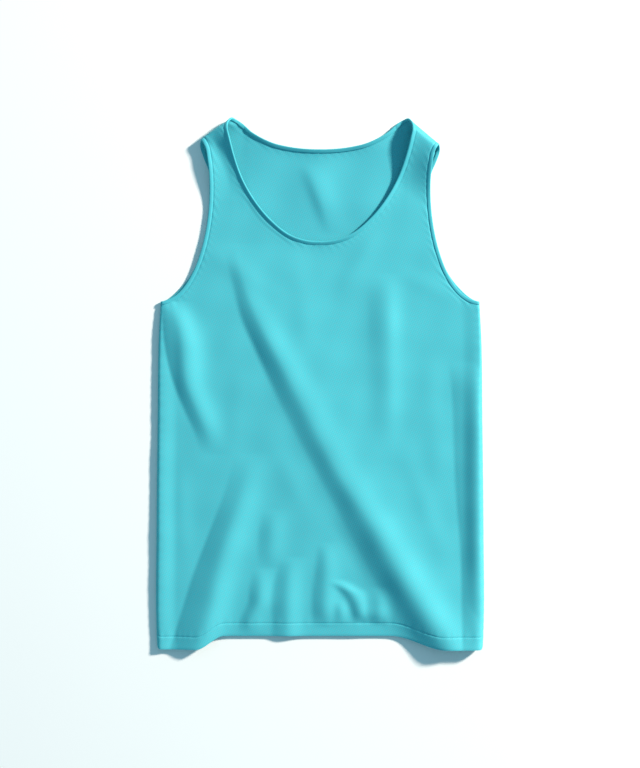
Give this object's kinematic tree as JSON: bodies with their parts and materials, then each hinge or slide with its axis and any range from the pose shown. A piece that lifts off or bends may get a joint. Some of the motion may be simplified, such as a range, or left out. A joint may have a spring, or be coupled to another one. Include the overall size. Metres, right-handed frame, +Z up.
{
  "type": "running singlet",
  "caption": "Sleeveless running singlet in light knit, laid flat on its back, with scooped neck, cut-in armholes, bound edges and soft folds.",
  "frame": {"origin": "middle of the garment's outline in plan, on the surface that it lies on", "axes": "+Y from the hem towards the neck, +Z up, out of the front of the garment, +X towards the wearer's left"},
  "size_m": [0.445, 0.72, 0.0208],
  "materials": {
    "front_knit": "matte fine knit",
    "back_knit": "matte fine knit",
    "binding": "matte folded knit strip"
  },
  "bodies": {
    "root": {"front_panel": "front_knit", "back_panel": "back_knit", "neck_binding": "binding", "armhole_binding_left": "binding", "armhole_binding_right": "binding"}
  },
  "joints": []
}
